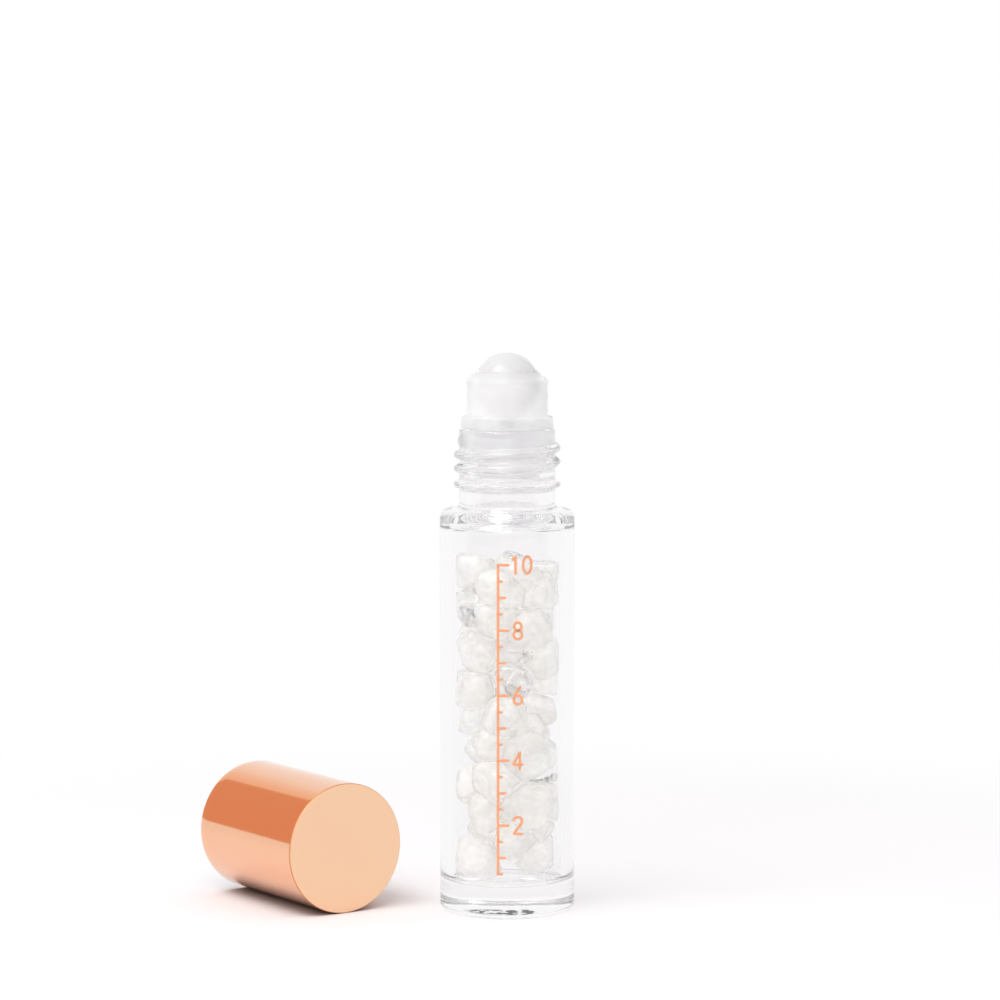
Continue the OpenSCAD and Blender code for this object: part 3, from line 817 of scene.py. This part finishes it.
def digit(which, x, z, h):
    """Strokes of a plain rounded numeral, each an array of points (x, z), of height h."""
    r = h / 4

    def bend(cx, cz, start, stop, rx=r, rz=r, count=26):
        a = np.radians(np.linspace(start, stop, count))
        return np.stack([x + cx + rx * np.cos(a), z + cz + rz * np.sin(a)], -1)

    def run(*points):
        corners = np.array(points) + np.array([x, z])
        return line(*corners, step=STROKE_STEP)

    foot_of_2 = run((-r, -2 * r), (r, -2 * r))
    neck_of_6 = run((0.55 * r, 2 * r), (-0.7 * r, 0.1 * r))[:-1]
    return {
        "0": [bend(0, 0, 90, 450, r, 2 * r, 40)],
        "1": [run((-0.7 * r, 1.3 * r), (0, 2 * r), (0, -2 * r))],
        "2": [np.concatenate([bend(0, r, 160, -35), foot_of_2])],
        "4": [run((0.5 * r, -2 * r), (0.5 * r, 2 * r), (-1.1 * r, -0.9 * r), (1.1 * r, -0.9 * r))],
        "6": [np.concatenate([neck_of_6, bend(0, -r, 150, 510)])],
        "8": [bend(0, 0.95 * r, -90, 270, 0.85 * r, 0.95 * r), bend(0, -r, 90, 450, r, r)],
    }[which]


# %% Strokes of the fill scale
CAVITY_AREA = np.pi * (BODY_R - WALL) ** 2
PER_ML = 1e-6 / CAVITY_AREA
FULL_ML = 10
SPINE_X = -1.35 * MM
MARK_LENGTHS = (1.5 * MM, 0.55 * MM, 1.0 * MM, 0.55 * MM)
DIGIT_H, DIGIT_STEP = 2.5 * MM, 1.75 * MM
DIGIT_X, TWO_DIGIT_SHIFT = 2.9 * MM, 0.35 * MM
strokes = [line((SPINE_X, BASE_T + PER_ML / 2), (SPINE_X, BASE_T + FULL_ML * PER_ML), step=1 * MM)]
for half in range(1, 2 * FULL_ML + 1):
    z = BASE_T + PER_ML * half / 2
    reach = MARK_LENGTHS[half % len(MARK_LENGTHS)]
    strokes.append(line((SPINE_X, z), (SPINE_X + reach, z), step=STROKE_STEP))
for amount in range(2, FULL_ML + 1, 2):
    word = str(amount)
    shift = TWO_DIGIT_SHIFT if len(word) > 1 else 0
    for order, letter in enumerate(word):
        x = SPINE_X + DIGIT_X + order * DIGIT_STEP - shift
        strokes += digit(letter, x, BASE_T + PER_ML * amount, DIGIT_H)
print("strokes in the scale", len(strokes))

# %% Copper print
points, faces = [], []
for stroke in strokes:
    skin = ink_stroke(ribbon(stroke, INK_HALF_W))
    faces += skin_faces(skin, sum(map(len, points)))
    points.append(skin.reshape(-1, 3))
ink = new_mesh("fill_scale", np.concatenate(points), faces)
ink_finish = Finish("copper_print")
grainy = ink_finish.noise(2500, detail=3)
ink_material = ink_finish.surface(ink_finish.shader(
    Base_Color=ink_finish.mix(grainy, rgb(0.84, 0.35, 0.175), rgb(0.89, 0.415, 0.23)),
    Metallic=0.25, Roughness=0.4 + 0.15 * grainy,
    Normal=ink_finish.bumped(grainy, 0.2, 0.02 * MM)))
ink.data.materials.append(ink_material)
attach(ink, "glass_bottle")
print("faces of ink", len(faces))

# %% [markdown]
# Camera
#
# The camera was worked out from the photograph: a long lens a little above the bottle, which
# keeps its sides nearly upright.

# %% Camera
PITCH = np.radians(5.426)
camera_data = bpy.data.cameras.new("camera")
camera_data.sensor_width = 36
camera_data.lens = 144
camera_data.clip_start = 0.01
camera_data.clip_end = 100
camera = into_scene("camera", camera_data)
camera.location = (-1.06 * MM, -588.1 * MM, 116.87 * MM)
camera.rotation_euler = (np.pi / 2 - PITCH, 0, 0)
bpy.context.scene.camera = camera
print("camera", [round(way / MM, 1) for way in camera.location], "mm")

# %% [markdown]
# Floor
#
# The floor is plain and white, and takes soft shadows. Clear glass has no look of its own: it
# shows what it bends. Rays that come through glass therefore meet other tones than the camera
# does. The floor in front is grey to them, as a studio's dark camera side is, which draws the
# edges of the glass. Near the bottle it has a little light of its own, as under strong lamps.
# Where the cap covers the floor closely an occlusion node darkens the floor's colour, a
# painted shadow over the real one, and because it measures the pieces themselves, it follows
# the cap when the cap moves.

# %% Floor
FLOOR_R = 3.0
CLOSE = 6 * MM
CAP_SIDE_X = (-22 * MM, -18.5 * MM)
FRONT_Y = (-50 * MM, -20 * MM)
PAINT_R = (70 * MM, 170 * MM)
floor_ring = np.linspace(0, FLOOR_R, 8)
floor = grid_mesh("floor", turned(np.stack([floor_ring, 0 * floor_ring], -1), 64)[::-1])
plaster = Finish("floor")
seen = plaster.path("Is Camera Ray")
mirrored = plaster.path("Is Glossy Ray")
through = plaster.path("Is Transmission Ray")
by_cap = 1 - plaster.along("X").sharp(*CAP_SIDE_X)
in_front = 1 - plaster.along("Y").sharp(*FRONT_Y)
away = plaster.node("VectorMath", {"operation": "LENGTH"}, {0: plaster.place()}, output="Value")
open_sky = plaster.node("AmbientOcclusion", {"samples": 8}, {"Distance": CLOSE}, output="AO")
# Painted shadow: the floor's colour darkens where the occlusion node finds the cap close.
painted_shadow_share = by_cap * (1 - open_sky.sharp(0, 0.6))

# %% Paint near the object with a painted shadow under the cap, white further off, grey in front through glass
open_tone = plaster.mix(through, rgb(0.96, 0.94, 0.955), rgb(0.42, 0.416, 0.416))
tone_with_painted_shadow = plaster.mix(painted_shadow_share, open_tone, rgb(0.42, 0.395, 0.4))
matt = plaster.node("BsdfDiffuse", {}, {"Color": tone_with_painted_shadow})
lift = plaster.glow(plaster.mix(through, rgb(0, 0, 0), rgb(0.5, 0.496, 0.5)))
paint = plaster.node("AddShader", {}, {0: matt, 1: lift})
white = plaster.glow(plaster.mix(through, rgb(1, 1, 1), rgb(0.965, 0.955, 0.965)))
backdrop = plaster.blend(away.sharp(*PAINT_R), paint, white)
shown = plaster.blend(through * in_front, backdrop, plaster.glow(rgb(0.38, 0.372, 0.38)))
floor.data.materials.append(plaster.surface(plaster.blend(seen + mirrored, paint, shown)))
print("floor radius", FLOOR_R, "m")

# %% [markdown]
# Air
#
# The air is the world's background: pure white to the camera and to mirrored rays. What falls
# on matt things is dimmer near the ground, so that shadows stay. Through glass it is bright
# behind the bottle and dimmer in front, and a ragged dark gap, high up behind, gives the base
# of the glass its dark blotch. Generated coordinates give the world a ray's direction, from
# -1 to 1 along each axis.

# %% What each kind of ray meets
air = Finish("air", bpy.context.scene.world or bpy.data.worlds.new("air"))
bpy.context.scene.world = air.holder
sideways, backward, upward = [air.along(axis, "Generated") for axis in "XYZ"]
seen = air.path("Is Camera Ray")
mirrored = air.path("Is Glossy Ray") * (1 - air.path("Diffuse Depth").sharp(0, 1))
through = air.path("Is Transmission Ray")

# %% Gap, sky and light
patch_place = {"Vector": air.place("Generated"), "Scale": 14.0, "Detail": 3.0}
patches = air.node("TexNoise", {}, patch_place).sharp(0.4, 0.52)
gap = upward.sharp(0.28, 0.36) * (1 - upward.sharp(0.56, 0.66)) * backward.sharp(0.2, 0.4)
gap = gap * sideways.sharp(-0.5, -0.3) * (1 - sideways.sharp(0.3, 0.5)) * patches
bright = air.mix(backward.sharp(-0.2, 0.75), rgb(0.82, 0.81, 0.825), rgb(0.955, 0.95, 0.96))
seen_through = air.mix(gap * 0.9, bright, rgb(0.08, 0.07, 0.08))
overhead = air.node("MapRange", {}, {0: upward, 1: 0.0, 2: 1.0, 3: 0.55, 4: 0.84})
falling = air.mix(overhead, rgb(0, 0, 0), rgb(1, 1, 1))
shade = air.mix(through, air.mix(mirrored, falling, rgb(1, 1, 1)), seen_through)
soft, plain = air.glow(shade, "Background"), air.glow(rgb(1, 1, 1), "Background")
air.node("OutputWorld", {}, {"Surface": air.blend(seen, soft, plain)})
print("nodes in the air", len(air.tree.nodes))

# %% [markdown]
# Soft boxes
#
# Two large lamps stand where soft boxes would, above the camera and to its left, so that
# shadows fall to the right and behind, with soft edges.

# %% Soft boxes
def soft_box(name, place, aim, width, depth, power):
    """A rectangular lamp at a place, turned to face a point."""
    lamp = bpy.data.lights.new(name, "AREA")
    lamp.shape = "RECTANGLE"
    lamp.size, lamp.size_y, lamp.energy = width, depth, power
    holder = into_scene(name, lamp)
    holder.location = place
    holder.rotation_euler = (Vector(aim) - Vector(place)).to_track_quat("-Z", "Y").to_euler()
    print(name, power, "W")


soft_box("key_box", place=(-0.28, -0.20, 0.58), aim=(0, 0, 0.03),
         width=0.26, depth=0.26, power=1.0)
soft_box("front_box", place=(-0.12, -0.52, 0.52), aim=(0, 0, 0.05),
         width=0.42, depth=0.5, power=1.5)

# %% [markdown]
# Card for the metal
#
# Polished metal shows what stands round it. A warm card behind and to the left of the cap
# gives its side the deep band that polished metal has in a studio. Only mirrored rays meet
# it: to the camera, to the lamps and to everything matt it isn't there. Its paler wing, to the
# cap's right, fades out, which gives the band a soft neighbour above.

# %% Curved card
CARD_R = 120 * MM
CARD_LOW, CARD_HIGH = 11 * MM, 130 * MM
CARD_POSTS = 25
card_angle = np.radians(np.linspace(104, 172, CARD_POSTS))
card_arc = CARD_R * np.stack([np.cos(card_angle), np.sin(card_angle)], -1) + CAP_MIDDLE.xy
card_rows = [np.hstack([card_arc, np.full((CARD_POSTS, 1), z)]) for z in (CARD_LOW, CARD_HIGH)]
first = np.arange(CARD_POSTS - 1)
card_quads = np.stack([first, first + 1, first + 1 + CARD_POSTS, first + CARD_POSTS], -1)
card = new_mesh("warm_card", np.concatenate(card_rows), card_quads.tolist())
print("card quads", len(card_quads))

# %% Warm tones, met by mirrored rays alone
WING_FROM, WING_TO = -42 * MM, 10.5 * MM
BAND_FROM, BAND_TO = 10.2 * MM, 11.2 * MM
CAP_LEFT = (-np.cos(CAP_TURN), -np.sin(CAP_TURN), 0)
warm = Finish("warm_card")
left = warm.toward(CAP_LEFT) - float(np.dot(CAP_LEFT, CAP_MIDDLE))
in_band = left.sharp(BAND_FROM, BAND_TO)
tone = warm.glow(warm.mix(in_band, rgb(0.97, 0.75, 0.6), rgb(0.81, 0.43, 0.275)))
first_mirror = warm.path("Is Glossy Ray") * (1 - warm.path("Transmission Depth").sharp(0, 1))
unseen = warm.node("BsdfTransparent")
shown = warm.blend(first_mirror * left.sharp(WING_FROM, WING_TO), unseen, tone)
card.data.materials.append(warm.surface(shown))

# %% [markdown]
# Flag between the metal and the glass
#
# A photographer puts a white flag, a plain sheet, between two things that shouldn't mirror
# each other. This one keeps the cap's orange out of the glass. It too is met by mirrored rays
# alone, and above the cap it lets those that come through glass go on.

# %% White flag
FLAG_X, FLAG_NEAR, FLAG_FAR, FLAG_H = -13.2 * MM, -22 * MM, 120 * MM, 85 * MM
flag_sides = ((FLAG_NEAR, 0), (FLAG_FAR, 0), (FLAG_FAR, FLAG_H), (FLAG_NEAR, FLAG_H))
flag = new_mesh("white_flag", [(FLAG_X, y, z) for y, z in flag_sides], [(0, 1, 2, 3)])
felt = Finish("white_flag")
bounced = felt.path("Is Glossy Ray") * (1 - felt.path("Diffuse Depth").sharp(0, 1))
through = felt.path("Is Transmission Ray")
above_cap = felt.along("Z").sharp(26 * MM, 28 * MM)
felt_tone = felt.glow(felt.mix(through, rgb(1, 1, 1), rgb(0.95, 0.945, 0.955)))
unseen = felt.node("BsdfTransparent")
flag.data.materials.append(felt.surface(
    felt.blend(bounced * (1 - through * above_cap), unseen, felt_tone)))
print("flag height", round(FLAG_H / MM, 1), "mm")

# %% [markdown]
# Colour and bounces
#
# The Standard view shows a colour as it is written. Light runs round inside thick glass for
# tens of turns, and each mirroring inside counts as a glossy bounce. With the usual limits
# those rays end early and leave black corners in the shoulder and the heel, so the limits are
# raised.

# %% Colour and bounces
bpy.context.scene.view_settings.view_transform = "Standard"
BOUNCES = {"max": 100, "transmission": 100, "glossy": 40, "diffuse": 8, "transparent_max": 32}
for kind, count in BOUNCES.items():
    setattr(bpy.context.scene.cycles, kind + "_bounces", count)
